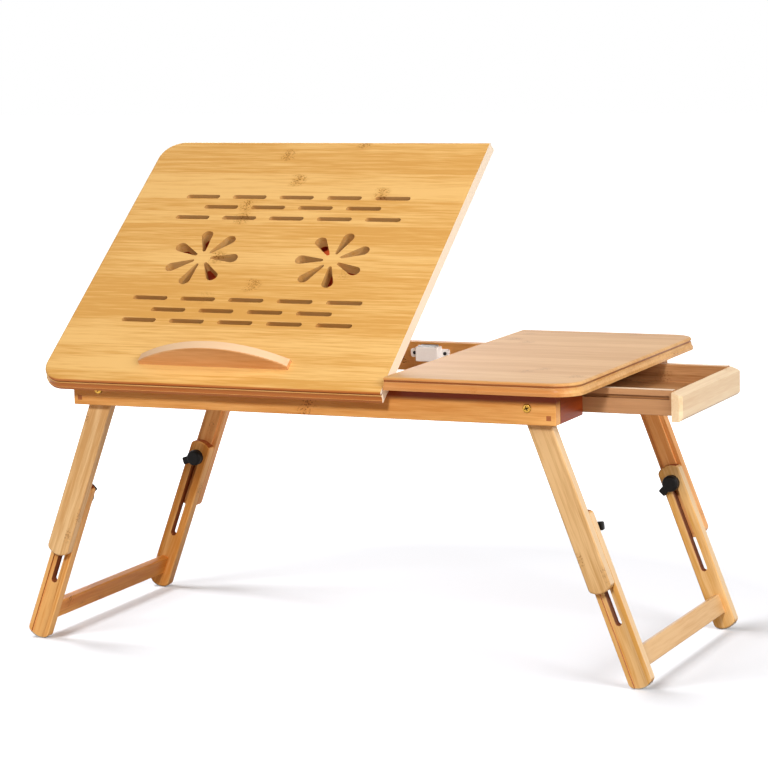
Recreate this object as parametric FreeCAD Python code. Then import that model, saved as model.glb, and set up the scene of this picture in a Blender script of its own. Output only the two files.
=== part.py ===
"""Folding bamboo laptop stand: a tilting top, a fixed top, a side drawer and two folding legs.

Millimetres. X runs along the desk to the drawer end, Y runs to the back, Z is up.
The pieces are worked out about the centre of the frame on the floor, then moved level
so that the origin is the middle of the bottom of the whole stand.
"""
import FreeCAD
import Part
import math
import os

Vec = FreeCAD.Vector

# Top boards
top_length = 558.0
top_depth = 350.0
top_thickness = 12.0
top_corner_radius = 26.0
top_split_x = 90.0
top_split_gap = 1.0
top_tilt = 37.5

# Routed edge of the top boards, as (set back from the edge, depth below the top face)
edge_round = 2.5
edge_step = 1.6
edge_quirk_depth = 0.9
edge_quirk_height = 1.6
edge_lip_height = 2.8

# Frame under the tops
end_overhang = 27.0
front_overhang = 21.0
rail_thickness = 12.0
rail_height = 30.0
end_rail_thickness = 9.5
rail_edge_round = 1.0
corner_dowel_width = 4.6
corner_dowel_inset = 6.9
corner_dowel_length = 26.0
corner_dowel_drop = 23.0

# Ventilation cut through the tilting top
vent_shift = 0.5
vent_length = 38.0
vent_width = 5.5
vent_pitch = 52.95
vent_row_distances = (89.2, 74.1, 58.3)
vent_row_counts = (5, 4, 5)
flower_offset = 70.9
petal_count = 7
petal_inner_radius = 1.75
petal_outer_radius = 6.0
petal_inner_reach = 10.5
petal_outer_reach = 33.0

# Ledge that stops the laptop
ledge_length = 160.0
ledge_thickness = 10.5
ledge_end_height = 4.5
ledge_middle_height = 25.0
ledge_setback = 26.0
ledge_edge_round = 1.2

# Hinges of the tilting top
hinge_length = 30.0
hinge_knuckle_radius = 1.7
hinge_pin_radius = 0.8
hinge_leaf_thickness = 1.0
hinge_leaf_width = 9.0
hinge_pin_drop = 3.5
hinge_spread = 200.0
hinge_screw_spread = 20.0

# Small screws shared by the hinges and the catch
small_screw_radius = 1.0
small_head_radius = 1.8
small_head_height = 0.9
small_screw_length = 7.0

# Prop that holds the tilting top up
prop_pin_setback = 76.0
prop_length = 174.0
prop_thickness = 8.0
prop_left_gap = 18.5
prop_right_gap = 54.0
prop_rod_radius = 2.0
prop_rod_depth = 5.0
prop_rail_height = 9.0
prop_rail_depth = 14.0
prop_rail_gap = 1.0
prop_hinge_gap = 3.0
prop_end_gap = 2.5
prop_hinge_length = 36.0
prop_hinge_spread = 132.0
prop_leaf_width = 11.0
rod_clip_width = 6.0
rod_clip_gap = 1.0
guide_width = 10.0
guide_depth = 10.0
guide_overrun = 8.0
guide_gap = 3.0
detent_count = 5
detent_depth = 0.5

# Magnetic catch on the back rail
catch_x = -1.3
catch_width = 25.0
catch_reach = 11.5
catch_height = 15.0
catch_ear_width = 9.0
catch_ear_thickness = 2.5
catch_ear_height = 9.0
catch_plate_thickness = 1.5
catch_plate_height = 14.0
catch_plate_spacing = 8.0
catch_screw_drop = 11.0
catch_top_drop = 3.8
catch_edge_round = 1.0
catch_ear_corner = 2.5
strike_thickness = 1.8
strike_length = 34.0
strike_width = 9.0

# Drawer and its guides
drawer_open = 87.0
drawer_width = 169.0
drawer_box_length = 149.5
drawer_side_thickness = 9.0
drawer_side_height = 23.5
drawer_bottom_thickness = 4.0
drawer_bottom_groove = 3.0
drawer_bottom_lift = 2.0
drawer_front_thickness = 10.0
drawer_front_height = 27.0
drawer_front_lap = 3.5
drawer_front_drop = 1.5
drawer_front_bevel = 3.6
drawer_front_corner = 3.0
drawer_edge_round = 0.8
drawer_top_gap = 4.0
divider_thickness = 12.0
divider_height = 22.0
guide_rail_thickness = 11.0
guide_rail_height = 22.0
guide_rail_gap = 1.5
runner_height = 3.0
runner_reach = 5.0
runner_drop = 11.2
groove_stop = 3.0

# Legs
leg_lean = 20.8
leg_width = 23.0
leg_thickness = 11.5
leg_pivot_inset = 18.5
leg_pivot_drop = 14.5
leg_gap = 0.3
upper_leg_top = 12.0
upper_leg_bottom = 182.0
upper_end_radius = 16.0
lower_leg_top = 105.0
lower_leg_bottom = 276.1
lower_end_radius = 17.5
leg_travel = 90.0
clamp_place = 122.5
rib_width = 14.0
rib_height = 2.0
leg_end_corner = 5.0
leg_edge_round = 1.6
leg_mating_round = 0.6
foot_pad_thickness = 0.8
foot_pad_width = 17.0
crossbar_top = 241.5
crossbar_width = 19.5
crossbar_thickness = 8.0
crossbar_offset = 1.0
crossbar_edge_round = 1.5

# Leg screws, clamping bolts and knobs
pivot_screw_radius = 2.5
pivot_head_radius = 4.2
pivot_head_height = 1.4
pivot_cross_length = 4.6
pivot_cross_width = 1.0
pivot_cross_depth = 0.8
bolt_radius = 3.0
bolt_depth = 9.8
bolt_reach = 5.5
washer_radius = 7.5
washer_thickness = 1.0
knob_hub_radius = 8.2
knob_hub_height = 8.0
knob_hub_round = 2.6
knob_lever_width = 8.0
knob_lever_height = 6.4
knob_lever_lift = 0.8
knob_lever_reach = 13.8
knob_lever_round = 1.6
knob_turns = {("left", "front"): 246.0, ("left", "back"): 38.0,
              ("right", "front"): 13.0, ("right", "back"): 152.0}

# Clearances
running_gap = 0.05
side_gap = 0.3
groove_gap = 0.25

# Places that follow from the sizes above
lean = math.radians(leg_lean)
frame_length = top_length - 2 * end_overhang
frame_depth = top_depth - 2 * front_overhang
vent_centre_x = (top_split_x - top_length / 2) / 2 + vent_shift
drawer_front_width = drawer_width + 2 * drawer_front_lap
foot_centre = lower_leg_bottom - lower_end_radius
leg_pivot_z = foot_centre * math.cos(lean) + lower_end_radius + foot_pad_thickness
rail_top_z = leg_pivot_z + leg_pivot_drop
rail_bottom_z = rail_top_z - rail_height
top_z = rail_top_z + top_thickness
frame_front_y = -frame_depth / 2
frame_end_x = frame_length / 2
rail_inner_y = frame_depth / 2 - rail_thickness
end_inner_x = frame_end_x - end_rail_thickness
leg_pivot_x = end_inner_x - leg_pivot_inset
top_front_y = -top_depth / 2
hinge_places = (vent_centre_x - hinge_spread / 2, vent_centre_x + hinge_spread / 2)
prop_left_x = -end_inner_x + prop_left_gap
prop_right_x = top_split_x - prop_right_gap
prop_middle_x = (prop_left_x + prop_right_x) / 2
prop_hinge_places = (prop_middle_x - prop_hinge_spread / 2, prop_middle_x + prop_hinge_spread / 2)
hinge_y = frame_front_y - hinge_knuckle_radius - side_gap
hinge_z = rail_top_z - hinge_pin_drop
prop_pin_y = hinge_y + prop_pin_setback
prop_pin_z = rail_top_z - prop_rod_depth
prop_rail_inner_y = prop_pin_y - prop_hinge_gap
prop_rail_outer_y = prop_rail_inner_y - prop_rail_depth
upper_outer_y = rail_inner_y - leg_gap
upper_inner_y = upper_outer_y - leg_thickness
lower_outer_y = upper_inner_y - leg_gap
lower_inner_y = lower_outer_y - leg_thickness
divider_left_x = top_split_x
divider_right_x = divider_left_x + divider_thickness
drawer_top_z = rail_top_z - drawer_top_gap
drawer_bottom_z = drawer_top_z - drawer_side_height
drawer_front_x = frame_end_x + drawer_open
drawer_back_x = drawer_front_x - drawer_box_length
guide_inner_y = drawer_width / 2 + guide_rail_gap
guide_outer_y = guide_inner_y + guide_rail_thickness
runner_z = rail_top_z - runner_drop
corner_dowel_z = rail_top_z - corner_dowel_drop


def box(x0, x1, y0, y1, z0, z1):
    return Part.makeBox(x1 - x0, y1 - y0, z1 - z0, Vec(x0, y0, z0))


def eased_box(x0, x1, y0, y1, z0, z1, radius, along="XYZ"):
    """Box whose edges along the named axes are rounded."""
    square = box(x0, x1, y0, y1, z0, z1)
    edges = []
    for edge in square.Edges:
        runs = {"X": edge.BoundBox.XLength, "Y": edge.BoundBox.YLength, "Z": edge.BoundBox.ZLength}
        if max(runs, key=runs.get) in along:
            edges.append(edge)
    return square.makeFillet(radius, edges)


def rod_x(x0, x1, y, z, radius):
    return Part.makeCylinder(radius, x1 - x0, Vec(x0, y, z), Vec(1, 0, 0))


def rod_y(x, y0, y1, z, radius):
    return Part.makeCylinder(radius, abs(y1 - y0), Vec(x, y0, z), Vec(0, math.copysign(1, y1 - y0), 0))


def outline_face(edges):
    return Part.Face(Part.Wire([edge.toShape() for edge in edges]))


def line(a, b):
    return Part.LineSegment(a, b)


def arc(a, middle, b):
    return Part.Arc(a, middle, b)


def mirrored_x(shape):
    return shape.mirror(Vec(0, 0, 0), Vec(1, 0, 0))


def mirrored_y(shape):
    return shape.mirror(Vec(0, 0, 0), Vec(0, 1, 0))


def turned_x(shape, y, z, angle):
    turned = shape.copy()
    turned.rotate(Vec(0, y, z), Vec(1, 0, 0), angle)
    return turned


def front_and_back(shape):
    return [shape, mirrored_y(shape)]


# ---- Top boards ----

def top_outline(split_x, depth_z):
    """Half-open board from the split to the drawer end, with two round corners."""
    end_x = top_length / 2
    side_y = top_depth / 2
    r = top_corner_radius
    bend = r * math.sqrt(0.5)
    front = [Vec(split_x, -side_y, depth_z), Vec(end_x - r, -side_y, depth_z)]
    middle_1 = Vec(end_x - r + bend, -side_y + r - bend, depth_z)
    side = [Vec(end_x, -side_y + r, depth_z), Vec(end_x, side_y - r, depth_z)]
    middle_2 = Vec(end_x - r + bend, side_y - r + bend, depth_z)
    back = [Vec(end_x - r, side_y, depth_z), Vec(split_x, side_y, depth_z)]
    return outline_face([line(*front), arc(front[1], middle_1, side[0]), line(*side),
                         arc(side[1], middle_2, back[0]), line(*back), line(back[1], front[0])])


def edge_profile(place):
    """Section that the router takes off; place turns (set back, depth) into a point."""
    spare = 3.0
    quirk_top = edge_round + 0.4
    quirk_back = edge_step + edge_quirk_depth
    quirk_bottom = quirk_top + edge_quirk_height
    lip_top = top_thickness - edge_lip_height
    cove_bend = (edge_step * 0.75, lip_top - (lip_top - quirk_bottom) * 0.35)
    round_start = edge_step + edge_round
    round_bend = (edge_step + edge_round * 0.29, edge_round * 0.29)
    corners = [(round_start, 0), (edge_step, edge_round), (quirk_back, quirk_top),
               (quirk_back, quirk_bottom), (edge_step, quirk_bottom + 0.3), (0.3, lip_top),
               (-spare, lip_top), (-spare, -spare), (round_start, -spare)]
    points = [place(*corner) for corner in corners]
    edges = [arc(points[0], place(*round_bend), points[1]), line(points[1], points[2]),
             line(points[2], points[3]), line(points[3], points[4]),
             arc(points[4], place(*cove_bend), points[5])]
    edges += [line(points[i], points[(i + 1) % len(points)]) for i in range(5, len(points))]
    return outline_face(edges)


def routed_edge(split_x):
    end_x = top_length / 2
    side_y = top_depth / 2
    r = top_corner_radius
    spare = 1.0
    front = edge_profile(lambda inset, deep: Vec(split_x - spare, -side_y + inset, top_z - deep))
    front = front.extrude(Vec(end_x - r - split_x + spare, 0, 0))
    side = edge_profile(lambda inset, deep: Vec(end_x - inset, -side_y + r, top_z - deep))
    side = side.extrude(Vec(0, top_depth - 2 * r, 0))
    corner = edge_profile(lambda inset, deep: Vec(end_x - r, -side_y + inset, top_z - deep))
    corner = corner.revolve(Vec(end_x - r, -side_y + r, 0), Vec(0, 0, 1), 90)
    return front_and_back(front) + front_and_back(corner) + [side]


def top_board(split_x):
    board = top_outline(split_x, rail_top_z).extrude(Vec(0, 0, top_thickness))
    return board.cut(routed_edge(split_x))


def stadium(length, width, height):
    """Slot with round ends along X, centred, from z 0 up."""
    half = length / 2 - width / 2
    r = width / 2
    a, b, c, d = Vec(-half, -r, 0), Vec(half, -r, 0), Vec(half, r, 0), Vec(-half, r, 0)
    face = outline_face([line(a, b), arc(b, Vec(half + r, 0, 0), c), line(c, d),
                         arc(d, Vec(-half - r, 0, 0), a)])
    return face.extrude(Vec(0, 0, height))


def teardrop(near_radius, far_radius, near, far, height):
    """Two circles on the X axis and their two tangents, from z 0 up."""
    slant = math.asin((far_radius - near_radius) / (far - near))
    out_x, out_y = -math.sin(slant), math.cos(slant)
    near_up = Vec(near + near_radius * out_x, near_radius * out_y, 0)
    far_up = Vec(far + far_radius * out_x, far_radius * out_y, 0)
    near_down = Vec(near_up.x, -near_up.y, 0)
    far_down = Vec(far_up.x, -far_up.y, 0)
    face = outline_face([line(near_up, far_up), arc(far_up, Vec(far + far_radius, 0, 0), far_down),
                         line(far_down, near_down), arc(near_down, Vec(near - near_radius, 0, 0), near_up)])
    return face.extrude(Vec(0, 0, height))


def vent_cutters():
    cutters = []
    for distance, count in zip(vent_row_distances, vent_row_counts):
        for row_y in (-distance, distance):
            for column in range(count):
                x = vent_centre_x + (column - (count - 1) / 2) * vent_pitch
                cutter = stadium(vent_length, vent_width, top_thickness + 2)
                cutter.translate(Vec(x, row_y, rail_top_z - 1))
                cutters.append(cutter)
    return cutters


def flower_cutters():
    cutters = []
    for centre_x, first in ((vent_centre_x - flower_offset, 0), (vent_centre_x + flower_offset, 180)):
        for petal in range(petal_count):
            cutter = teardrop(petal_inner_radius, petal_outer_radius,
                              petal_inner_reach, petal_outer_reach, top_thickness + 2)
            cutter.rotate(Vec(0, 0, 0), Vec(0, 0, 1), first + petal * 360.0 / petal_count)
            cutter.translate(Vec(centre_x, 0, rail_top_z - 1))
            cutters.append(cutter)
    return cutters


def tilt_top():
    board = mirrored_x(top_board(-top_split_x + top_split_gap / 2))
    return board.cut(vent_cutters() + flower_cutters() + top_leaf_screws())


def fixed_top():
    return top_board(top_split_x + top_split_gap / 2)


def ledge():
    half = ledge_length / 2
    front_y = top_front_y + ledge_setback
    left = vent_centre_x - half
    right = vent_centre_x + half
    a = Vec(left, front_y, top_z)
    b = Vec(right, front_y, top_z)
    c = Vec(right, front_y, top_z + ledge_end_height)
    d = Vec(left, front_y, top_z + ledge_end_height)
    crown = Vec(vent_centre_x, front_y, top_z + ledge_middle_height)
    bow = outline_face([line(a, b), line(b, c), arc(c, crown, d), line(d, a)])
    bow = bow.extrude(Vec(0, ledge_thickness, 0))
    upper = [edge for edge in bow.Edges if edge.Length > ledge_length and edge.BoundBox.ZMax > top_z + 1]
    return bow.makeFillet(ledge_edge_round, upper)


# ---- Small screws ----

def small_screw(x, y, z, direction):
    """Flat-topped screw whose head stands on the point, driven along direction."""
    head = Part.makeCylinder(small_head_radius, small_head_height, Vec(x, y, z), direction * -1)
    shank = Part.makeCylinder(small_screw_radius, small_screw_length, Vec(x, y, z), direction)
    return head.fuse(shank).removeSplitter()


# ---- Hinges of the tilting top ----

def barrel(x0, x1, y, z, radius, bore):
    return rod_x(x0, x1, y, z, radius).cut(rod_x(x0 - 1, x1 + 1, y, z, bore))


def knuckle_spans(centre, length, count):
    """Equal knuckles with a running gap between neighbours."""
    pitch = length / count
    start = centre - length / 2
    trim = side_gap / 2
    return [(start + i * pitch + trim, start + (i + 1) * pitch - trim) for i in range(count)]


def screw_places(places):
    return [place + side * hinge_screw_spread / 2 for place in places for side in (-1, 1)]


def frame_leaf_screws():
    y = frame_front_y - hinge_leaf_thickness
    z = hinge_z - hinge_knuckle_radius - hinge_leaf_width / 2
    return [small_screw(x, y, z, Vec(0, 1, 0)) for x in screw_places(hinge_places)]


def top_leaf_screws():
    y = hinge_y - hinge_leaf_width * 0.6
    z = rail_top_z - hinge_leaf_thickness
    return [small_screw(x, y, z, Vec(0, 0, 1)) for x in screw_places(hinge_places)]


def hinge_frame_leaves():
    leaves = []
    knuckle_bottom = hinge_z - hinge_knuckle_radius - side_gap
    for centre in hinge_places:
        half = hinge_length / 2
        leaf = box(centre - half, centre + half, frame_front_y - hinge_leaf_thickness, frame_front_y,
                   knuckle_bottom - hinge_leaf_width + side_gap, knuckle_bottom)
        spans = knuckle_spans(centre, hinge_length, 3)
        for x0, x1 in (spans[0], spans[2]):
            ear = box(x0, x1, frame_front_y - hinge_leaf_thickness, frame_front_y, knuckle_bottom, hinge_z)
            leaf = leaf.fuse(ear).fuse(rod_x(x0, x1, hinge_y, hinge_z, hinge_knuckle_radius))
        leaf = leaf.cut(rod_x(centre - half, centre + half, hinge_y, hinge_z, hinge_pin_radius))
        leaves.append(leaf.cut(frame_leaf_screws()))
    return leaves


def hinge_top_leaves():
    leaves = []
    for centre in hinge_places:
        half = hinge_length / 2
        leaf = box(centre - half, centre + half, hinge_y - hinge_leaf_width - hinge_knuckle_radius,
                   hinge_y, rail_top_z - hinge_leaf_thickness, rail_top_z)
        x0, x1 = knuckle_spans(centre, hinge_length, 3)[1]
        web_y = hinge_y - hinge_knuckle_radius
        web = box(x0, x1, web_y, web_y + hinge_leaf_thickness, hinge_z, rail_top_z - hinge_leaf_thickness)
        leaf = leaf.fuse(web).fuse(rod_x(x0, x1, hinge_y, hinge_z, hinge_knuckle_radius))
        leaf = leaf.cut(rod_x(centre - half, centre + half, hinge_y, hinge_z, hinge_pin_radius + running_gap))
        leaves.append(leaf.cut(top_leaf_screws()))
    return leaves


def hinge_pins():
    half = hinge_length / 2
    return [rod_x(centre - half, centre + half, hinge_y, hinge_z, hinge_pin_radius)
            for centre in hinge_places]


# ---- Prop ----

prop_rest_swing = top_tilt + math.degrees(math.asin(
    (hinge_pin_drop - prop_rod_depth + prop_pin_setback * math.sin(math.radians(top_tilt))
     + (prop_rod_depth - hinge_pin_drop) * math.cos(math.radians(top_tilt))) / prop_length))


def rod_in_top(share):
    """Place of the prop rod under the top, as (Y, Z) with the top laid flat."""
    swing = math.radians(prop_rest_swing * share)
    tilt = math.radians(top_tilt * share)
    away = prop_pin_setback + prop_length * math.cos(swing)
    up = hinge_pin_drop - prop_rod_depth + prop_length * math.sin(swing)
    along = away * math.cos(tilt) + up * math.sin(tilt)
    lift = up * math.cos(tilt) - away * math.sin(tilt)
    return hinge_y + along, hinge_z + lift


def prop_board():
    return eased_box(prop_left_x, prop_right_x, prop_pin_y + prop_end_gap,
                     prop_pin_y + prop_length - prop_rod_radius - rod_clip_gap,
                     prop_pin_z - prop_thickness / 2, prop_pin_z + prop_thickness / 2, rail_edge_round)


def rod_clips():
    """Flat lugs that carry the rod at the end of the prop board."""
    half = prop_thickness / 2
    rod_y_place = prop_pin_y + prop_length
    clips = []
    for x0 in (prop_left_x, prop_right_x - rod_clip_width, prop_middle_x - rod_clip_width / 2):
        x1 = x0 + rod_clip_width
        clip = box(x0, x1, rod_y_place - prop_rod_radius - rod_clip_gap, rod_y_place,
                   prop_pin_z - half, prop_pin_z + half)
        clip = clip.fuse(rod_x(x0, x1, rod_y_place, prop_pin_z, half))
        clips.append(clip.cut([rod_x(x0, x1, rod_y_place, prop_pin_z, prop_rod_radius), prop_board()]))
    return clips


def prop_rod():
    return rod_x(prop_left_x - guide_gap - guide_width, prop_right_x + guide_gap + guide_width,
                 prop_pin_y + prop_length, prop_pin_z, prop_rod_radius)


def prop_rail():
    top = rail_top_z - prop_rail_gap
    return box(-end_inner_x, divider_left_x, prop_rail_outer_y, prop_rail_inner_y,
               top - prop_rail_height, top)


def prop_leaf(centre, moving):
    """Strip hinge leaf let into a saw cut, with its knuckles about the prop axis."""
    half = prop_hinge_length / 2
    thick = hinge_leaf_thickness / 2
    spans = knuckle_spans(centre, prop_hinge_length, 5)
    chosen = spans[1::2] if moving else spans[0::2]
    gap = prop_end_gap if moving else -prop_hinge_gap
    reach = prop_leaf_width if moving else -prop_leaf_width
    y0, y1 = sorted((prop_pin_y + gap, prop_pin_y + reach))
    leaf = box(centre - half, centre + half, y0, y1, prop_pin_z - thick, prop_pin_z + thick)
    for x0, x1 in chosen:
        neck0, neck1 = sorted((prop_pin_y, prop_pin_y + gap))
        leaf = leaf.fuse(box(x0, x1, neck0, neck1, prop_pin_z - thick, prop_pin_z + thick))
        leaf = leaf.fuse(rod_x(x0, x1, prop_pin_y, prop_pin_z, hinge_knuckle_radius))
    bore = hinge_pin_radius + (running_gap if moving else 0)
    return leaf.cut(rod_x(centre - half, centre + half, prop_pin_y, prop_pin_z, bore))


def prop_leaves(moving):
    return [prop_leaf(centre, moving) for centre in prop_hinge_places]


def prop_hinge_pins():
    half = prop_hinge_length / 2
    return [rod_x(centre - half, centre + half, prop_pin_y, prop_pin_z, hinge_pin_radius)
            for centre in prop_hinge_places]


def prop_guide(inner_x, outward):
    """Block under the top with a long slot for the rod and shallow seats along its upper side."""
    places = [rod_in_top(step / 20) for step in range(21)]
    near = min(place[0] for place in places)
    far = max(place[0] for place in places)
    low = min(place[1] for place in places) - prop_rod_radius - side_gap
    high = max(place[1] for place in places) + prop_rod_radius + side_gap
    x0, x1 = sorted((inner_x, inner_x + outward * guide_width))
    block = box(x0, x1, near - guide_overrun, far + guide_overrun, rail_top_z - guide_depth, rail_top_z)
    slot = box(x0 - 1, x1 + 1, near - prop_rod_radius, far + prop_rod_radius + side_gap, low, high)
    radius = prop_rod_radius + side_gap
    seats = []
    for seat in range(detent_count):
        y = near + (far - near) * seat / (detent_count - 1)
        seats.append(rod_x(x0 - 1, x1 + 1, y, high - radius + detent_depth, radius))
    return block.cut([slot] + seats)


# ---- Magnetic catch ----

def catch_screws():
    z = rail_top_z - catch_screw_drop
    offset = catch_width / 2 + catch_ear_width / 2
    y = rail_inner_y - catch_ear_thickness
    return [small_screw(catch_x + side * offset, y, z, Vec(0, 1, 0)) for side in (-1, 1)]


def catch_body():
    top = rail_top_z - catch_top_drop
    body = eased_box(catch_x - catch_width / 2, catch_x + catch_width / 2, rail_inner_y - catch_reach,
                     rail_inner_y + catch_edge_round, top - catch_height, top, catch_edge_round)
    ear_z = rail_top_z - catch_screw_drop
    half = catch_width / 2 + catch_ear_width
    ears = eased_box(catch_x - half, catch_x + half, rail_inner_y - catch_ear_thickness, rail_inner_y,
                     ear_z - catch_ear_height / 2, ear_z + catch_ear_height / 2, catch_ear_corner, "Y")
    behind = box(catch_x - half, catch_x + half, rail_inner_y, rail_inner_y + catch_reach,
                 top - catch_height, top)
    return body.cut(behind).fuse(ears).cut(catch_screws() + catch_plates())


def catch_plates():
    """Two steel poles that stand a little above the catch body."""
    top = rail_top_z - strike_thickness - side_gap
    middle_y = rail_inner_y - catch_reach / 2
    half = catch_width / 2 - 3.0
    plates = []
    for side in (-1, 1):
        y = middle_y + side * catch_plate_spacing / 2 - catch_plate_thickness / 2
        plates.append(box(catch_x - half, catch_x + half, y, y + catch_plate_thickness,
                          top - catch_plate_height, top))
    return plates


def strike_plate():
    middle_y = rail_inner_y - catch_reach / 2
    return box(catch_x - strike_length / 2, catch_x + strike_length / 2, middle_y - strike_width / 2,
               middle_y + strike_width / 2, rail_top_z - strike_thickness, rail_top_z)


# ---- Frame ----

def long_rail():
    """Front rail, with holes for the leg screws, the corner dowels and the hinge screws."""
    rail = eased_box(-frame_end_x, frame_end_x, frame_front_y, frame_front_y + rail_thickness,
                     rail_bottom_z, rail_top_z, rail_edge_round)
    for side in (-1, 1):
        rail = rail.cut(rod_y(side * leg_pivot_x, frame_front_y - 1, -rail_inner_y + 1, leg_pivot_z,
                              pivot_screw_radius))
    return rail.cut(corner_dowels())


def front_rail():
    return long_rail().cut(frame_leaf_screws())


def back_rail():
    return mirrored_y(long_rail()).cut(catch_screws())


def corner_dowels():
    """Square pegs that pin each rail's end to the end piece behind it."""
    half = corner_dowel_width / 2
    dowels = []
    for side in (-1, 1):
        x = side * (frame_end_x - corner_dowel_inset)
        dowels += front_and_back(box(x - half, x + half, frame_front_y, frame_front_y + corner_dowel_length,
                                     corner_dowel_z - half, corner_dowel_z + half))
    return dowels


def left_end_rail():
    rail = eased_box(-frame_end_x, -end_inner_x, -rail_inner_y, rail_inner_y,
                     rail_bottom_z, rail_top_z, rail_edge_round, "Y")
    return rail.cut(corner_dowels())


def right_end_block():
    block = eased_box(end_inner_x, frame_end_x, -rail_inner_y, -guide_inner_y,
                      rail_bottom_z, rail_top_z, rail_edge_round, "Y")
    return block.cut(corner_dowels())


def divider():
    return box(divider_left_x, divider_right_x, -guide_outer_y, guide_outer_y,
               rail_top_z - divider_height, rail_top_z)


def guide_rail():
    return box(divider_right_x, end_inner_x, -guide_outer_y, -guide_inner_y,
               rail_top_z - guide_rail_height, rail_top_z)


def runner():
    return box(divider_right_x, end_inner_x, -guide_inner_y, -guide_inner_y + runner_reach,
               runner_z - runner_height / 2, runner_z + runner_height / 2)


# ---- Drawer ----

def drawer_bottom():
    half = drawer_width / 2 - drawer_side_thickness + drawer_bottom_groove
    z = drawer_bottom_z + drawer_bottom_lift
    return box(drawer_back_x + drawer_side_thickness - drawer_bottom_groove,
               drawer_front_x, -half, half, z, z + drawer_bottom_thickness)


def drawer_side():
    half = drawer_width / 2
    side = eased_box(drawer_back_x, drawer_front_x, -half, -half + drawer_side_thickness,
                     drawer_bottom_z, drawer_top_z, drawer_edge_round, "X")
    groove = box(drawer_back_x - 1, drawer_front_x - groove_stop, -half - 1,
                 -guide_inner_y + runner_reach + groove_gap,
                 runner_z - runner_height / 2 - groove_gap, runner_z + runner_height / 2 + groove_gap)
    return side.cut([groove, drawer_bottom()])


def drawer_back():
    half = drawer_width / 2 - drawer_side_thickness
    back = box(drawer_back_x, drawer_back_x + drawer_side_thickness, -half, half,
               drawer_bottom_z, drawer_top_z)
    return back.cut(drawer_bottom())


def drawer_front():
    half = drawer_front_width / 2
    top = drawer_top_z - drawer_front_drop
    bottom = top - drawer_front_height
    outer_x = drawer_front_x + drawer_front_thickness
    front = box(drawer_front_x, outer_x, -half, half, bottom, top)
    edges = [edge for edge in front.Edges
             if edge.BoundBox.ZLength > 1 and edge.BoundBox.XMin > outer_x - 1]
    edges += [edge for edge in front.Edges
              if edge.BoundBox.XMin > outer_x - 1 and edge.BoundBox.ZMax < bottom + 1]
    front = front.makeChamfer(drawer_front_corner, edges)
    inner = Vec(drawer_front_x, -half - 1, top)
    outer = Vec(outer_x, -half - 1, top - drawer_front_bevel)
    above = Vec(outer_x + 1, -half - 1, top + 1)
    bevel = outline_face([line(inner, outer), line(outer, above), line(above, inner)])
    return front.cut(bevel.extrude(Vec(0, drawer_front_width + 2, 0)))


# ---- Legs: worked out hanging straight down from the pivot at the origin, outward along +X ----

def bar(top, bottom, end_radius, y_outer, y_inner, outer_round, inner_round):
    """Upright bar from depth top to depth bottom, each end a shallow arc with rounded corners."""
    half = leg_width / 2
    rise = end_radius - math.sqrt(end_radius ** 2 - half ** 2)
    a = Vec(-half, -y_outer, -top - rise)
    b = Vec(half, -y_outer, -top - rise)
    c = Vec(half, -y_outer, -bottom + rise)
    d = Vec(-half, -y_outer, -bottom + rise)
    face = outline_face([arc(a, Vec(0, -y_outer, -top), b), line(b, c),
                         arc(c, Vec(0, -y_outer, -bottom), d), line(d, a)])
    square = face.extrude(Vec(0, y_outer - y_inner, 0))
    corners = [edge for edge in square.Edges if edge.BoundBox.XLength < 0.01 and edge.BoundBox.ZLength < 0.01]
    round_bar = square.makeFillet(leg_end_corner, corners)
    for plane_y, radius in ((-y_outer, outer_round), (-y_inner, inner_round)):
        rim = [edge for edge in round_bar.Edges
               if edge.BoundBox.YLength < 0.01 and abs(edge.BoundBox.YMin - plane_y) < 0.01]
        round_bar = round_bar.makeFillet(radius, rim)
    return round_bar


def straight_upper_leg():
    leg = bar(-upper_leg_top, upper_leg_bottom, upper_end_radius, upper_outer_y, upper_inner_y,
              leg_edge_round, leg_mating_round)
    half = rib_width / 2
    rib = box(-half, half, -upper_inner_y - leg_mating_round, -upper_inner_y + rib_height,
              -upper_leg_bottom + leg_end_corner, -lower_leg_top + leg_travel)
    leg = leg.fuse(rib).removeSplitter()
    leg = leg.cut(rod_y(0, -upper_outer_y - 1, -upper_inner_y + 1, 0, pivot_screw_radius + running_gap))
    return leg.cut(straight_bolt())


def straight_lower_leg():
    leg = bar(lower_leg_top, lower_leg_bottom, lower_end_radius, lower_outer_y, lower_inner_y,
              leg_mating_round, leg_edge_round)
    half = rib_width / 2 + side_gap
    channel = box(-half, half, -lower_outer_y - 1, -upper_inner_y + rib_height + side_gap,
                  -lower_leg_bottom - 1, -lower_leg_top + 1)
    slot_length = leg_travel + 2 * (bolt_radius + 2 * groove_gap)
    slot = stadium(slot_length, 2 * (bolt_radius + groove_gap), leg_thickness + 2)
    slot.rotate(Vec(0, 0, 0), Vec(1, 0, 0), 90)
    slot.rotate(Vec(0, 0, 0), Vec(0, 1, 0), 90)
    slot.translate(Vec(0, -lower_inner_y + 1, -clamp_place - leg_travel / 2))
    return leg.cut([channel, slot])


def straight_foot_pad():
    half = foot_pad_width / 2
    near = -lower_outer_y + leg_edge_round
    far = -lower_inner_y - leg_edge_round
    pad = rod_y(0, near, far, -foot_centre, lower_end_radius + foot_pad_thickness)
    core = rod_y(0, near - 1, far + 1, -foot_centre, lower_end_radius)
    end = box(-half, half, near, far, -lower_leg_bottom - foot_pad_thickness - 1, -foot_centre)
    return pad.cut(core).common(end)


def straight_crossbar():
    half = crossbar_thickness / 2
    return eased_box(crossbar_offset - half, crossbar_offset + half, -lower_inner_y, lower_inner_y,
                     -crossbar_top - crossbar_width, -crossbar_top, crossbar_edge_round, "Y")


def straight_bolt():
    return rod_y(0, -upper_inner_y - bolt_depth + rib_height, -lower_inner_y + bolt_reach,
                 -clamp_place, bolt_radius)


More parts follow.
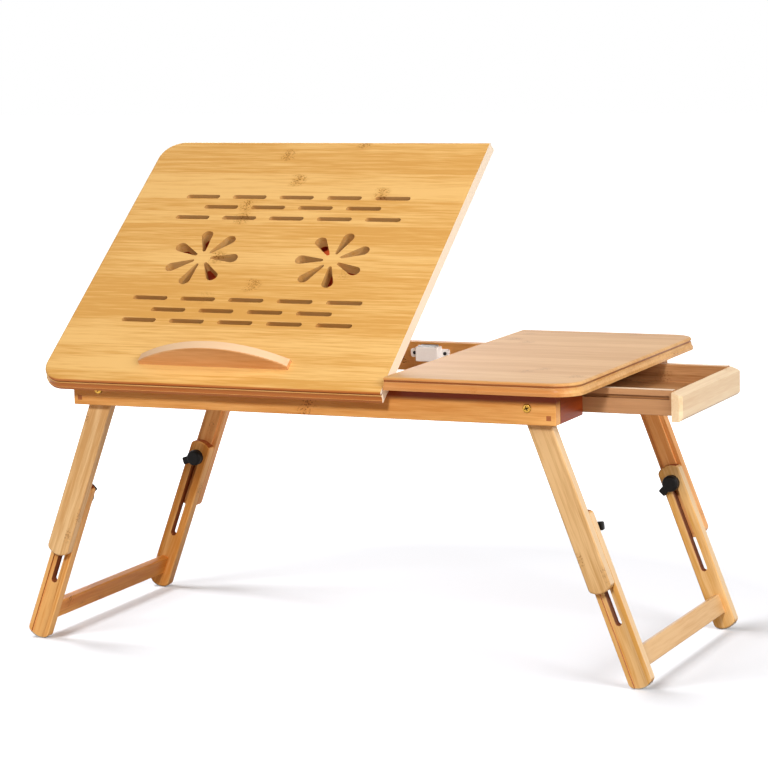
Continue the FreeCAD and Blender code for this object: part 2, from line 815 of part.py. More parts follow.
def straight_washer():
    start = -lower_inner_y + side_gap / 2
    washer = rod_y(0, start, start + washer_thickness, -clamp_place, washer_radius)
    return washer.cut(straight_bolt())


def straight_knob(turn):
    """Round clamping knob with one lever; turn is the lever's angle in degrees."""
    start = -lower_inner_y + side_gap + washer_thickness
    hub = rod_y(0, start, start + knob_hub_height, 0, knob_hub_radius)
    rim = [edge for edge in hub.Edges if edge.BoundBox.YMin > start + knob_hub_height - 0.1]
    half = knob_lever_width / 2
    lever = eased_box(0, knob_lever_reach, start + knob_lever_lift,
                      start + knob_lever_lift + knob_lever_height, -half, half, knob_lever_round)
    bore = rod_y(0, start - 1, -lower_inner_y + bolt_reach + side_gap, 0, bolt_radius + running_gap)
    knob = hub.makeFillet(knob_hub_round, rim).fuse(lever).cut(bore)
    knob.rotate(Vec(0, 0, 0), Vec(0, 1, 0), turn)
    knob.translate(Vec(0, 0, -clamp_place))
    return knob


def straight_pivot_screw():
    """Screw with a domed, cross-slotted head."""
    outer = frame_front_y
    top = outer - pivot_head_height
    head = rod_y(0, top, outer, 0, pivot_head_radius)
    rim = [edge for edge in head.Edges if edge.BoundBox.YMax < top + 0.1]
    head = head.makeFillet(pivot_head_height - 0.3, rim)
    half = pivot_cross_length / 2
    wide = pivot_cross_width / 2
    floor = top + pivot_cross_depth
    cross = [box(-half, half, top - 1, floor, -wide, wide), box(-wide, wide, top - 1, floor, -half, half)]
    shank = rod_y(0, outer, -upper_inner_y, 0, pivot_screw_radius)
    return head.fuse(shank).cut(cross)


def leaned(shape, side):
    """Leg piece turned to its lean and hung from its pivot on the left or right end."""
    placed = shape.copy()
    placed.rotate(Vec(0, 0, 0), Vec(0, 1, 0), -leg_lean)
    placed.translate(Vec(leg_pivot_x, 0, leg_pivot_z))
    return mirrored_x(placed) if side == "left" else placed


def leg_nodes():
    nodes = {}
    for side in ("left", "right"):
        for place in ("front", "back"):
            flip = mirrored_y if place == "back" else (lambda shape: shape)
            name = side + "_" + place
            nodes[name + "_upper_leg"] = flip(leaned(straight_upper_leg(), side))
            nodes[name + "_lower_leg"] = flip(leaned(straight_lower_leg(), side))
            nodes[name + "_knob"] = flip(leaned(straight_knob(knob_turns[(side, place)]), side))
        nodes[side + "_crossbar"] = leaned(straight_crossbar(), side)
        nodes[side + "_foot_pads"] = front_and_back(leaned(straight_foot_pad(), side))
        nodes[side + "_clamp_bolts"] = front_and_back(leaned(straight_bolt(), side))
        nodes[side + "_clamp_washers"] = front_and_back(leaned(straight_washer(), side))
    return nodes


# ---- Nodes ----

def tilted(shape):
    return turned_x(shape, hinge_y, hinge_z, top_tilt)


def propped(shape):
    return turned_x(shape, prop_pin_y, prop_pin_z, prop_rest_swing)


def frame_nodes():
    guides = front_and_back(guide_rail())
    runners = front_and_back(runner())
    screw = straight_pivot_screw()
    pivot_screws = []
    for side in ("left", "right"):
        pivot_screws += front_and_back(leaned(screw, side))
    return {
        "front_rail": front_rail(),
        "back_rail": back_rail(),
        "left_end_rail": left_end_rail(),
        "right_end_front_block": right_end_block(),
        "right_end_back_block": mirrored_y(right_end_block()),
        "divider": divider(),
        "drawer_guide_front": guides[0],
        "drawer_guide_back": guides[1],
        "drawer_runner_front": runners[0],
        "drawer_runner_back": runners[1],
        "fixed_top": fixed_top(),
        "prop_rail": prop_rail().cut(prop_leaves(False)),
        "prop_hinge_rail_leaves": prop_leaves(False),
        "prop_hinge_pins": prop_hinge_pins(),
        "catch_body": catch_body(),
        "catch_poles": catch_plates(),
        "catch_screws": catch_screws(),
        "corner_dowels": corner_dowels(),
        "hinge_frame_leaves": hinge_frame_leaves(),
        "hinge_frame_screws": frame_leaf_screws(),
        "hinge_pins": hinge_pins(),
        "leg_pivot_screws": pivot_screws,
    }


def tilting_nodes():
    flat = {
        "tilt_top": [tilt_top()],
        "laptop_ledge": [ledge()],
        "hinge_top_leaves": hinge_top_leaves(),
        "hinge_top_screws": top_leaf_screws(),
        "strike_plate": [strike_plate()],
        "prop_guide_left": [prop_guide(prop_left_x - guide_gap, -1)],
        "prop_guide_right": [prop_guide(prop_right_x + guide_gap, 1)],
    }
    return {name: [tilted(shape) for shape in shapes] for name, shapes in flat.items()}


def prop_nodes():
    flat = {
        "prop_board": [prop_board().cut(prop_leaves(True))],
        "prop_rod": [prop_rod()],
        "prop_rod_clips": rod_clips(),
        "prop_hinge_board_leaves": prop_leaves(True),
    }
    return {name: [propped(shape) for shape in shapes] for name, shapes in flat.items()}


def drawer_nodes():
    sides = front_and_back(drawer_side())
    return {
        "drawer_front": drawer_front(),
        "drawer_side_front": sides[0],
        "drawer_side_back": sides[1],
        "drawer_back": drawer_back(),
        "drawer_bottom": drawer_bottom(),
    }


def main():
    nodes = {**frame_nodes(), **tilting_nodes(), **prop_nodes(), **drawer_nodes(), **leg_nodes()}
    shapes = {}
    for name, shape in nodes.items():
        shapes[name] = Part.makeCompound(shape) if isinstance(shape, list) else shape
    whole = Part.makeCompound(list(shapes.values())).optimalBoundingBox()
    shift = Vec(-(whole.XMin + whole.XMax) / 2, -(whole.YMin + whole.YMax) / 2, 0)
    os.makedirs("parts", exist_ok=True)
    for name, shape in shapes.items():
        moved = shape.copy()
        moved.translate(shift)
        moved.exportStep("parts/" + name + ".step")
        print(name, "solids", len(moved.Solids), "valid", moved.isValid(), "volume", round(moved.Volume, 2))
    print("shift", shift, "box", whole)
    print("prop swing at rest", round(prop_rest_swing, 4), "leg pivot height", round(leg_pivot_z, 4))


main()
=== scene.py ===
import math

import bpy
import numpy as np
from mathutils import Matrix, Vector


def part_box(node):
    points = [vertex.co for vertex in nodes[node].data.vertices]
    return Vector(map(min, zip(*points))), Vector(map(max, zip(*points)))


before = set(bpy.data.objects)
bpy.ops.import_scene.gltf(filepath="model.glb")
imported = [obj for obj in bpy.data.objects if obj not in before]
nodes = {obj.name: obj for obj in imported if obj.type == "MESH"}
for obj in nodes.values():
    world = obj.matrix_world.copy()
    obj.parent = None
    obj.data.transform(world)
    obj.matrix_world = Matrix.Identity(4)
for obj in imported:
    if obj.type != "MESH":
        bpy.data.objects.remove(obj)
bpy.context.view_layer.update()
print("frame loaded:", len(nodes), "nodes")

degrees = math.pi / 180


class Tree:
    # one material's or world's nodes, with short ways to add and join them
    def __init__(self, owner):
        owner.use_nodes = True
        self.owner = owner
        self.nodes = owner.node_tree.nodes
        self.links = owner.node_tree.links
        self.nodes.clear()

    def add(self, kind, **values):
        node = self.nodes.new(kind)
        for key, value in values.items():
            setattr(node, key, value)
        return node

    def put(self, socket, value):
        if isinstance(value, bpy.types.NodeSocket):
            self.links.new(value, socket)
        else:
            socket.default_value = value

    def math(self, operation, *values, clamp=False):
        node = self.add("ShaderNodeMath", operation=operation, use_clamp=clamp)
        for socket, value in zip(node.inputs, values):
            self.put(socket, value)
        return node.outputs[0]

    def plus(self, a, b, clamp=False):
        return self.math("ADD", a, b, clamp=clamp)

    def minus(self, a, b):
        return self.math("SUBTRACT", a, b)

    def times(self, a, b, clamp=False):
        return self.math("MULTIPLY", a, b, clamp=clamp)

    def size(self, a):
        return self.math("ABSOLUTE", a)

    def scaled(self, value, factor, offset):
        # value * factor + offset
        return self.math("MULTIPLY_ADD", value, factor, offset)

    def rise(self, value, low, high):
        # 0 below low, 1 above high, smooth between
        node = self.add("ShaderNodeMapRange", interpolation_type="SMOOTHSTEP")
        self.put(node.inputs["Value"], value)
        node.inputs["From Min"].default_value = low
        node.inputs["From Max"].default_value = high
        return node.outputs[0]

    def fall(self, value, low, high):
        return self.minus(1.0, self.rise(value, low, high))

    def mix(self, factor, a, b):
        node = self.add("ShaderNodeMix", data_type="RGBA")
        for socket, value in zip((node.inputs[0], node.inputs[6], node.inputs[7]), (factor, a, b)):
            self.put(socket, value)
        return node.outputs[2]

    def vector(self, x, y, z):
        node = self.add("ShaderNodeCombineXYZ")
        for socket, value in zip(node.inputs, (x, y, z)):
            self.put(socket, value)
        return node.outputs[0]

    def dot(self, vector, direction):
        node = self.add("ShaderNodeVectorMath", operation="DOT_PRODUCT")
        self.put(node.inputs[0], vector)
        node.inputs[1].default_value = direction
        return node.outputs["Value"]

    def noise(self, vector, detail=2.0, roughness=0.5):
        node = self.add("ShaderNodeTexNoise")
        self.put(node.inputs["Vector"], vector)
        node.inputs["Scale"].default_value = 1.0
        node.inputs["Detail"].default_value = detail
        node.inputs["Roughness"].default_value = roughness
        return node.outputs["Fac"]

    def bump(self, height, strength, depth):
        node = self.add("ShaderNodeBump")
        node.inputs["Strength"].default_value = strength
        node.inputs["Distance"].default_value = depth
        self.put(node.inputs["Height"], height)
        return node.outputs[0]

    def coordinates(self):
        outputs = self.add("ShaderNodeTexCoord").outputs
        return outputs["Object"], outputs["Normal"]

    def end(self, shader, kind="ShaderNodeOutputMaterial"):
        self.links.new(shader, self.add(kind).inputs[0])
        return self.owner

    def principled(self, **values):
        node = self.add("ShaderNodeBsdfPrincipled")
        for key, value in values.items():
            self.put(node.inputs[key.replace("_", " ")], value)
        return self.end(node.outputs[0])


def colour(text):
    # "e6b56c" as written in a paint program, to linear light
    parts = [int(text[i:i + 2], 16) / 255 for i in (0, 2, 4)]
    linear = [c / 12.92 if c < 0.04045 else ((c + 0.055) / 1.055) ** 2.4 for c in parts]
    return tuple(linear) + (1.0,)


bambooLook = {
    "fibres": (40.0, 1500.0),         # noise cells per metre, along the grain and across it
    "streaks": (14.0, 330.0),
    "clouds": (3.0, 22.0),
    "grainRoughness": 0.55,
    "throughBoard": 0.6,              # cells through the board for each cell across it
    "shares": (0.75, 1.15, 0.70),     # how much fibres, streaks and clouds tone the strips
    "stripShare": 0.34,               # how much one strip differs from the next
    "stripShift": 40.0,               # how far the streaks of a strip may start from the next's
    "jointSpacing": 0.285,            # metres from one culm joint to the next
    "jointReach": 0.0110,             # half length of a joint's speckled zone
    "jointArch": 0.060,               # how far a joint bows along its strip
    "jointWander": (0.23, 3.1, 3.0),  # noise cells per strip and per layer, and joints moved
    "jointScatter": 0.05,             # the same for a strip by itself, in joints
    "ridge": (0.0004, 0.0026),        # where the fine line of a joint fades
    "ridgeShare": 0.20,
    "haloShare": 0.42,
    "patches": (130.0, 190.0),        # where the specks gather
    "patchEdge": (0.27, 0.43),
    "bundles": (420.0, 760.0, 500.0), # the specks, along, across and through
    "bundleEdge": (0.26, 0.50),
    "stripMiddle": (0.28, 0.50),      # the specks stay off a strip's edges
    "shownCells": (0.31, 5.7),        # noise cells per strip and per joint
    "shownEdge": (0.41, 0.50),        # which joints show
    "roughShare": 0.12,               # how much the fibres vary the roughness
    "wallFacing": (0.3, 0.7),         # what counts as a cut-out's wall
    "wallStreaks": 0.6,               # how much the streaks vary the walls' tone
    "wallRough": 0.5,
    "grooveEdge": (0.7, 1.2),
    "grooveTone": "702a0a",
    "grooveShare": 0.7,
    "gloss": 0.12,
    "coatRough": 0.18,
    "bumpFibres": 0.6,
    "bumpStrength": 0.35,
    "bumpDepth": 0.00003,
}


def bamboo(name, tones, turn, strip=(0.019, 0.020), contrast=1.0, joints=1.0, rough=0.40,
           coat=0.08, seed=0.0, cuts=(), walls=None, groove=None, band=None):
    # Glued strips run along X once turn has laid the grain there. Each strip has its own tone,
    # fine fibres, and here and there the bowed, speckled mark of a culm joint.
    look = bambooLook
    t = Tree(bpy.data.materials.new(name))
    place, normal = t.coordinates()
    turned = t.add("ShaderNodeMapping")
    t.put(turned.inputs["Vector"], place)
    turned.inputs["Rotation"].default_value = turn
    split = t.add("ShaderNodeSeparateXYZ")
    t.put(split.inputs[0], turned.outputs[0])
    along, across, deep = split.outputs
    rowPlace = t.math("DIVIDE", across, strip[0])
    row = t.math("FLOOR", rowPlace)
    layer = t.math("FLOOR", t.math("DIVIDE", deep, strip[1]))

    # three random numbers for each strip
    dice = t.add("ShaderNodeTexWhiteNoise")
    t.put(dice.inputs["Vector"], t.vector(row, layer, seed))
    rolled = t.add("ShaderNodeSeparateColor")
    t.put(rolled.inputs[0], dice.outputs["Color"])
    toneDice, startDice, wayDice = rolled.outputs

    def grain(cells, detail, start=0.0):
        spot = t.vector(t.plus(t.times(along, cells[0]), start), t.times(across, cells[1]),
                        t.times(deep, cells[1] * look["throughBoard"]))
        return t.noise(spot, detail, look["grainRoughness"])

    fibre = grain(look["fibres"], 2.0)
    streak = grain(look["streaks"], 2.0, t.times(startDice, look["stripShift"]))
    cloud = grain(look["clouds"], 1.0)
    tone = t.times(t.minus(toneDice, 0.5), look["stripShare"] * contrast)
    for part, share in zip((fibre, streak, cloud), look["shares"]):
        tone = t.plus(tone, t.times(t.minus(part, 0.5), share * contrast))
    tone = t.plus(tone, 0.5, clamp=True)

    # how far a point is from the nearest culm joint, whose line bows as across squared
    fromMiddle = t.minus(t.math("FRACT", rowPlace), 0.5)
    way = t.times(t.minus(wayDice, 0.35), look["jointArch"])
    bow = t.times(t.times(fromMiddle, fromMiddle), way)
    rowCells, layerCells, moved = look["jointWander"]
    wander = t.noise(t.vector(t.times(row, rowCells), t.times(layer, layerCells), seed + 7.0), 1.0)
    wander = t.scaled(wander, moved, t.times(startDice, look["jointScatter"]))
    phase = t.plus(t.math("DIVIDE", t.plus(along, bow), look["jointSpacing"]), wander)
    away = t.times(t.size(t.minus(t.math("FRACT", phase), 0.5)), look["jointSpacing"])

    # the joint's marks: specks in patches, a fine line, and a darker zone round them
    zone = t.fall(away, look["jointReach"] * 0.2, look["jointReach"])
    middle = t.fall(t.size(fromMiddle), *look["stripMiddle"])
    patchAlong, patchAcross = look["patches"]
    patches = t.noise(t.vector(t.times(along, patchAlong), t.times(across, patchAcross), seed), 1.0)
    bundles = t.add("ShaderNodeTexVoronoi")
    cells = [t.times(part, count) for part, count in zip((along, across, deep), look["bundles"])]
    t.put(bundles.inputs["Vector"], t.vector(*cells))
    bundles.inputs["Scale"].default_value = 1.0
    dots = t.fall(bundles.outputs["Distance"], *look["bundleEdge"])
    specks = t.times(t.times(zone, middle), t.times(dots, t.rise(patches, *look["patchEdge"])))
    ridge = t.fall(away, *look["ridge"])
    rowCells, jointCells = look["shownCells"]
    joint = t.times(t.math("FLOOR", phase), jointCells)
    shown = t.noise(t.vector(t.times(row, rowCells), joint, seed + 3.0), 0.0)
    shown = t.rise(shown, *look["shownEdge"])
    mark = t.plus(specks, t.times(ridge, look["ridgeShare"]), clamp=True)
    mark = t.times(t.times(mark, shown), joints, clamp=True)
    halo = t.times(t.times(zone, shown), look["haloShare"] * joints)

    light, dark, darkest = (colour(text) for text in tones)
    base = t.mix(tone, dark, light)
    base = t.mix(halo, base, dark)
    base = t.mix(mark, base, darkest)
    polish = t.scaled(fibre, look["roughShare"], rough - look["roughShare"] / 2)

    # faces that look one way and lie further out in it than past take another tone, most of them
    # painted light (paler) and painted shade (darker) for how that face is lit
    for cut in cuts:
        facing = t.rise(t.dot(normal, cut["way"]), *cut["facing"])
        outside = t.math("GREATER_THAN", t.dot(place, cut["way"]), cut.get("past", everywhere))
        base = t.mix(t.times(t.times(facing, outside), cut["share"]), base, colour(cut["tone"]))

    # a darker tone on the walls of what was cut into or through the board, inside its own sides; on
    # the legs' slot and channel it is painted shade in the recess
    if walls:
        share = t.fall(t.size(t.dot(normal, walls["through"])), *look["wallFacing"])
        for way, limit in walls["limits"]:
            share = t.times(share, t.math("LESS_THAN", t.dot(place, way), limit))
        wallDarkening = t.scaled(streak, look["wallStreaks"], walls["share"] - look["wallStreaks"] / 2)
        base = t.mix(t.times(share, wallDarkening, clamp=True), base, colour(walls["tone"]))
        polish = t.plus(polish, t.times(share, look["wallRough"]), clamp=True)

    # painted shade: a dark line along the moulding's groove, where its shadow falls
    if groove:
        start, end = (groove["half"] * edge for edge in look["grooveEdge"])
        line = t.fall(t.size(t.minus(t.dot(place, groove["up"]), groove["level"])), start, end)
        outside = t.math("GREATER_THAN", t.dot(place, groove["way"]), groove["past"])
        line = t.times(t.times(line, outside), look["grooveShare"])
        base = t.mix(line, base, colour(look["grooveTone"]))

    # the shaded upper edge
    if band:
        shade = t.times(t.rise(t.dot(place, (0, 0, 1)), *band["heights"]), band["share"])
        base = t.mix(shade, base, colour(band["tone"]))

    height = t.minus(t.times(fibre, look["bumpFibres"]), mark)
    return t.principled(Base_Color=base, Roughness=polish, Coat_Weight=coat,
                        Normal=t.bump(height, look["bumpStrength"], look["bumpDepth"]),
                        Coat_Roughness=look["coatRough"], Specular_IOR_Level=look["gloss"])


tilt = 37.5 * degrees
lean = 20.8 * degrees
sideways = (0, 0, -90 * degrees)      # grain along Y
lengthways = (0, 0, 0)                # grain along X
upSlope = (-tilt, 0, 0)               # grain along X, on the tilted top
downhill = (0, -math.cos(tilt), -math.sin(tilt))
tiltUp = (0, -math.sin(tilt), math.cos(tilt))
everywhere = -9.0
squareFacing = (0.90, 0.96)                   # how squarely a face looks its way before it takes its facing tone


def reach(node, direction):
    # how far a node goes in a direction
    mesh = nodes[node].data
    points = np.empty(len(mesh.vertices) * 3)
    mesh.vertices.foreach_get("co", points)
    return float((points.reshape(-1, 3) @ np.array(direction)).max())


tiltTopLook = {
    "tones": ("ecbf77", "d6a053", "98651f"), "turn": upSlope, "contrast": 2.3, "seed": 1.0,
    # painted light on the split face, which looks toward the side lamps, and painted shade on the
    # front edge, which looks downhill
    "cuts": [{"way": (1, 0, 0), "tone": "fdf0de", "share": 0.9, "facing": squareFacing,
              "past": reach("tilt_top", (1, 0, 0)) - 0.002},
             {"way": downhill, "tone": "b0561f", "share": 0.8, "facing": (0.30, 0.85),
              "past": reach("tilt_top", downhill) - 0.006}],
    "walls": {"through": tiltUp, "tone": "966640", "share": 0.38,
              "limits": [(way, reach("tilt_top", way) - 0.02)
                         for way in ((1, 0, 0), (-1, 0, 0), downhill,
                                     tuple(-part for part in downhill))]},
    # painted shade along the moulding's groove
    "groove": {"up": tiltUp, "level": reach("tilt_top", tiltUp) - 0.0037, "half": 0.0008,
               "way": downhill, "past": reach("tilt_top", downhill) - 0.006},
}
ledgeLook = {
    "tones": ("ebb781", "d4955a", "a9713c"), "turn": upSlope, "strip": (0.03, 0.03),
    "contrast": 1.2, "joints": 0.3, "seed": 2.0,
    "cuts": [{"way": tiltUp, "tone": "eed0ac", "share": 0.75, "facing": (0.75, 0.95)}],
}
fixedTopLook = {
    "tones": ("e0b276", "ca9555", "96622f"), "turn": lengthways, "contrast": 1.5, "joints": 0.7,
    "coat": 0.10, "seed": 3.0,
    # painted shade on the front edge, which looks forward, and along the moulding's groove
    "cuts": [{"way": (0, -1, 0), "tone": "c06c30", "share": 0.50, "facing": (0.50, 0.95)}],
    "groove": {"up": (0, 0, 1), "level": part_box("fixed_top")[1][2] - 0.0037, "half": 0.0008,
               "way": (0, 0, 1), "past": everywhere},
}
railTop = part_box("front_rail")[1][2]
railLook = {"tones": ("efb36a", "d69048", "9a5d26"), "strip": (0.015, 0.012)}
frontRailLook = {
    **railLook, "turn": lengthways, "contrast": 1.5, "seed": 4.0,
    "band": {"tone": "7c2200", "share": 0.93, "heights": (railTop - 0.013, railTop - 0.007)},
}
# painted shade: the end blocks' bamboo is dark red-brown for the shadow of the top's overhang
endBlockLook = {
    "tones": ("9e4414", "7a2e0a", "501c06"), "turn": sideways, "strip": (0.015, 0.012),
    "contrast": 1.3, "coat": 0.03, "seed": 12.0,
}
# painted shade: the drawer sides' bamboo is darker for the shade inside the drawer; painted light
# on the top edges and on the near side's outer face
drawerXLook = {
    "tones": ("bd8c5e", "946238", "6b4222"), "turn": lengthways, "strip": (0.012, 0.012),
    "contrast": 1.6, "joints": 0.5, "seed": 9.0,
    "cuts": [{"way": (0, 0, 1), "tone": "fbe3c4", "share": 0.75, "facing": squareFacing,
              "past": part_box("drawer_side_front")[1][2] - 0.001},
             {"way": (0, -1, 0), "tone": "c2936a", "share": 0.60, "facing": squareFacing,
              "past": -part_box("drawer_side_front")[0][1] - 0.001}],
}
drawerYLook = {
    "tones": ("eed7b3", "debc92", "ae885a"), "turn": sideways, "strip": (0.012, 0.012),
    "contrast": 1.1, "joints": 0.5, "seed": 10.0,
}
# painted light: the prop board's front face is a saturated orange-red, standing in for warm light
# bounced into the shade under the tilted top
propLook = {
    "tones": ("d89a5a", "b97438", "7c461c"), "turn": upSlope, "contrast": 1.4, "seed": 11.0,
    "cuts": [{"way": (0, -1, 0), "tone": "e4572c", "share": 0.85, "facing": (0.15, 0.45)}],
}
finishes = {
    "tiltTop": bamboo("tiltTopBamboo", **tiltTopLook),
    "ledge": bamboo("ledgeBamboo", **ledgeLook),
    "fixedTop": bamboo("fixedTopBamboo", **fixedTopLook),
    "frontRail": bamboo("frontRailBamboo", **frontRailLook),
    "railX": bamboo("railBambooAlong", **railLook, turn=lengthways, contrast=1.5, seed=16.0),
    "railY": bamboo("railBambooAcross", **railLook, turn=sideways, contrast=1.3, seed=5.0),
    "endBlock": bamboo("endBlockBamboo", **endBlockLook),
    "drawerX": bamboo("drawerBambooAlong", **drawerXLook),
    "drawerY": bamboo("drawerBambooAcross", **drawerYLook),
    "prop": bamboo("propBamboo", **propLook),
}
print("tops, frame, drawer and prop finishes made")


legLook = {
    "strip": (0.012, 0.006),
    "outerTone": "f8e2c0", "outerShare": 0.5,      # painted light: the outer faces are paler, for the lamps that strike them
    "wallTone": "862a08", "wallShare": 0.80,       # and the slot's and channel's walls darker: painted shade
    "wallInside": 0.0018,                          # the walls start this far inside the sides
    "lower": {"contrast": 2.1, "joints": 0.5, "coat": 0.02},
    "upper": {"contrast": 2.2, "joints": 0.6},
    # the left and right legs are one bamboo, toned apart for how each side is lit: painted light
    # and shade
    "left": {"sign": -1, "lowerSeed": 6.0, "upperSeed": 14.0, "backSeed": 17.0,
             "lowerTones": ("f0b973", "d89044", "8a5222"),
             "upperTones": ("edc792", "d5a469", "8e6030")},
    "right": {"sign": 1, "lowerSeed": 7.0, "upperSeed": 15.0, "backSeed": 18.0,
              "lowerTones": ("e6bc82", "cf9950", "8a5c2c"),
              "upperTones": ("dfb884", "c5985f", "82562b")},
    "backTones": ("f6be7c", "e49a56", "8e5228"),
}


def legFinishes(side):
    # a lower and an upper leg's bamboo, and the back upper leg's brighter orange bamboo, painted
    # light for the warm light it gets in the shade
    values = legLook[side]
    sign = values["sign"]
    grainTurn = (0, sign * (lean - 90 * degrees), 0)
    outer = (sign * math.cos(lean), 0, math.sin(lean))
    ways = [(way * math.cos(lean), 0, way * sign * math.sin(lean)) for way in (1, -1)]
    cuts = [{"way": outer, "tone": legLook["outerTone"], "share": legLook["outerShare"],
             "facing": squareFacing}]
    walls = {"through": (0, 1, 0), "tone": legLook["wallTone"], "share": legLook["wallShare"],
             "limits": [(way, reach(side + "_front_lower_leg", way) - legLook["wallInside"])
                        for way in ways]}
    lower, upper = ({"turn": grainTurn, "strip": legLook["strip"], **legLook[part]}
                    for part in ("lower", "upper"))
    return {
        side + "Lower": bamboo(side + "LowerLegBamboo", values["lowerTones"], cuts=cuts,
                               walls=walls, seed=values["lowerSeed"], **lower),
        side + "Upper": bamboo(side + "UpperLegBamboo", values["upperTones"], cuts=cuts,
                               seed=values["upperSeed"], **upper),
        side + "BackUpper": bamboo(side + "BackUpperLegBamboo", legLook["backTones"],
                                   seed=values["backSeed"], **upper),
    }


barLook = {"turn": sideways, "strip": (0.02, 0.02)}
finishes.update(legFinishes("left"))
finishes.update(legFinishes("right"))
finishes.update({
    # the two crossbars are one bamboo, toned apart for how each is lit: painted light and shade
    "leftBar": bamboo("leftCrossbarBamboo", ("f7b05a", "e08c38", "94561f"), contrast=1.5,
                      seed=8.0, **barLook),
    "rightBar": bamboo("rightCrossbarBamboo", ("e2bb88", "cd9c64", "9a6c3a"), contrast=1.4,
                       seed=13.0, **barLook),
})
print("leg finishes made")


plainLook = {
    "speckleCells": 900.0,        # noise cells per metre
    "roughShare": 0.16,           # how much the speckle varies the roughness
    "bumpStrength": 0.4,
    "recessTone": "171006",
    "headFacing": (0.96, 0.99),   # a screw head's flats look this squarely along Y
    "wallFacing": (0.05, 0.3),    # and the recess walls look across it
    "headDepth": 0.0005,          # the recess starts this far inside the head
}


def plain(name, tones, rough, metallic=0.0, grain=0.0, recessOf=None, **more):
    # recessOf names screws whose heads lie along Y: what is cut into the heads is painted dark, as
    # painted shade in the recess
    look = plainLook
    t = Tree(bpy.data.materials.new(name))
    place, normal = t.coordinates()
    scaled = t.add("ShaderNodeMapping")
    scaled.inputs["Scale"].default_value = (look["speckleCells"],) * 3
    t.put(scaled.inputs["Vector"], place)
    speckle = t.noise(scaled.outputs[0], 3.0)
    base = t.mix(speckle, colour(tones[0]), colour(tones[1]))
    # painted shade: the screw heads' cross recess is near black
    if recessOf:
        low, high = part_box(recessOf)
        side = t.size(t.minus(t.dot(place, (0, 1, 0)), (low[1] + high[1]) / 2))
        inside = t.math("LESS_THAN", side, (high[1] - low[1]) / 2 - look["headDepth"])
        level = t.size(t.dot(normal, (0, 1, 0)))
        cut = t.math("MAXIMUM", t.rise(level, *look["headFacing"]),
                     t.fall(level, *look["wallFacing"]))
        base = t.mix(t.times(cut, inside), base, colour(look["recessTone"]))
    polish = t.scaled(speckle, look["roughShare"], rough - look["roughShare"] / 2)
    return t.principled(Base_Color=base, Roughness=polish, Metallic=metallic,
                        Normal=t.bump(speckle, look["bumpStrength"], grain), **more)


finishes.update({
    "brass": plain("brass", ("caa355", "7f6130"), 0.30, 1.0, 0.00002),
    "pivotBrass": plain("pivotBrass", ("c99a45", "8a6326"), 0.30, 1.0, 0.00002,
                        "leg_pivot_screws"),
    "steel": plain("zincSteel", ("c9c9c6", "9d9d9b"), 0.34, 1.0, 0.00002),
    "knob": plain("knobPlastic", ("14100c", "090807"), 0.42, 0.0, 0.00005,
                  Specular_IOR_Level=0.14),
    "catch": plain("catchPlastic", ("fbf8f6", "f3efec"), 0.34, 0.0, 0.00002),
    "catchScrew": plain("blackScrew", ("141416", "26262a"), 0.40, 0.6, 0.00002),
    "pad": plain("padRubber", ("b9b2a4", "8e8678"), 0.70, 0.0, 0.00008),
    "dowel": plain("dowelEnds", ("b4662e", "8c481a"), 0.60, 0.0, 0.00006),
})
print("metal and plastic finishes made")

finishByName = {
    "tilt_top": "tiltTop", "laptop_ledge": "ledge", "fixed_top": "fixedTop",
    "front_rail": "frontRail", "back_rail": "railX", "prop_rail": "railX",
    "drawer_guide_front": "railX", "drawer_guide_back": "railX",
    "drawer_front": "drawerY", "drawer_back": "drawerY", "corner_dowels": "dowel",
    "catch_body": "catch", "catch_screws": "catchScrew", "leg_pivot_screws": "pivotBrass",
}
finishByStart = {
    "right_end": "endBlock", "left_end": "railY", "divider": "railY", "prop_board": "prop",
    "prop_guide": "tiltTop", "drawer": "drawerX", "hinge": "brass",
}
finishByEnd = {
    "_back_upper_leg": "BackUpper", "_upper_leg": "Upper", "_lower_leg": "Lower",
    "_crossbar": "Bar",                    # these four after the side's name
    "_knob": "knob", "_pads": "pad",
}


def finishOf(node):
    if node in finishByName:
        return finishByName[node]
    for start, finish in finishByStart.items():
        if node.startswith(start):
            return finish
    for end, finish in finishByEnd.items():
        if node.endswith(end):
            return finish if finish in finishes else node.split("_")[0] + finish
    return "steel"


for name in nodes:
    for slot in nodes[name].material_slots:
        slot.material = finishes[finishOf(name)]
print("pieces finished")


studio = {
    "floorHalf": 9.0,                     # metres from the middle to the floor's edges
    "floorTone": (0.28, 0.22, 0.16, 1),   # how the floor throws light back
    "floorSeen": (0.74, 0.77, 0.82, 1),   # the shaded part of what is seen of it
    "floorGlow": (0.11, 1.00),            # the even part, near the desk and far off
    "glowPlaces": (0.42, 1.10),           # metres from the middle where near and far begin
    "skyLight": 0.16,
    "skyTone": (1.0, 0.72, 0.48, 1),
    "skySeen": (1, 1, 1, 1),
}
middleAim = (0, 0, 0.25)
floorAim = (0, 0, 0)
deskLamps = {
    "key": {"place": (0.8, -3.9, 2.2), "aim": middleAim, "size": 0.6, "power": 115.0},
    "over": {"place": (2.1, -1.05, 2.85), "aim": middleAim, "size": 0.9, "power": 26.0},
    "right": {"place": (2.8, -0.8, 1.65), "aim": middleAim, "size": 0.8, "power": 44.0},
    "low": {"place": (2.4, -2.2, 0.5), "aim": (0, 0, 0.2), "size": 0.8, "power": 13.0},
    "back": {"place": (-2.0, 2.8, 1.9), "aim": middleAim, "size": 1.4, "power": 44.0},
}
catchLamps = {
    "onCatch": {"place": (1.3, -1.9, 0.9), "aim": (0.1, 0.17, 0.25), "size": 0.5, "power": 18.0},
}
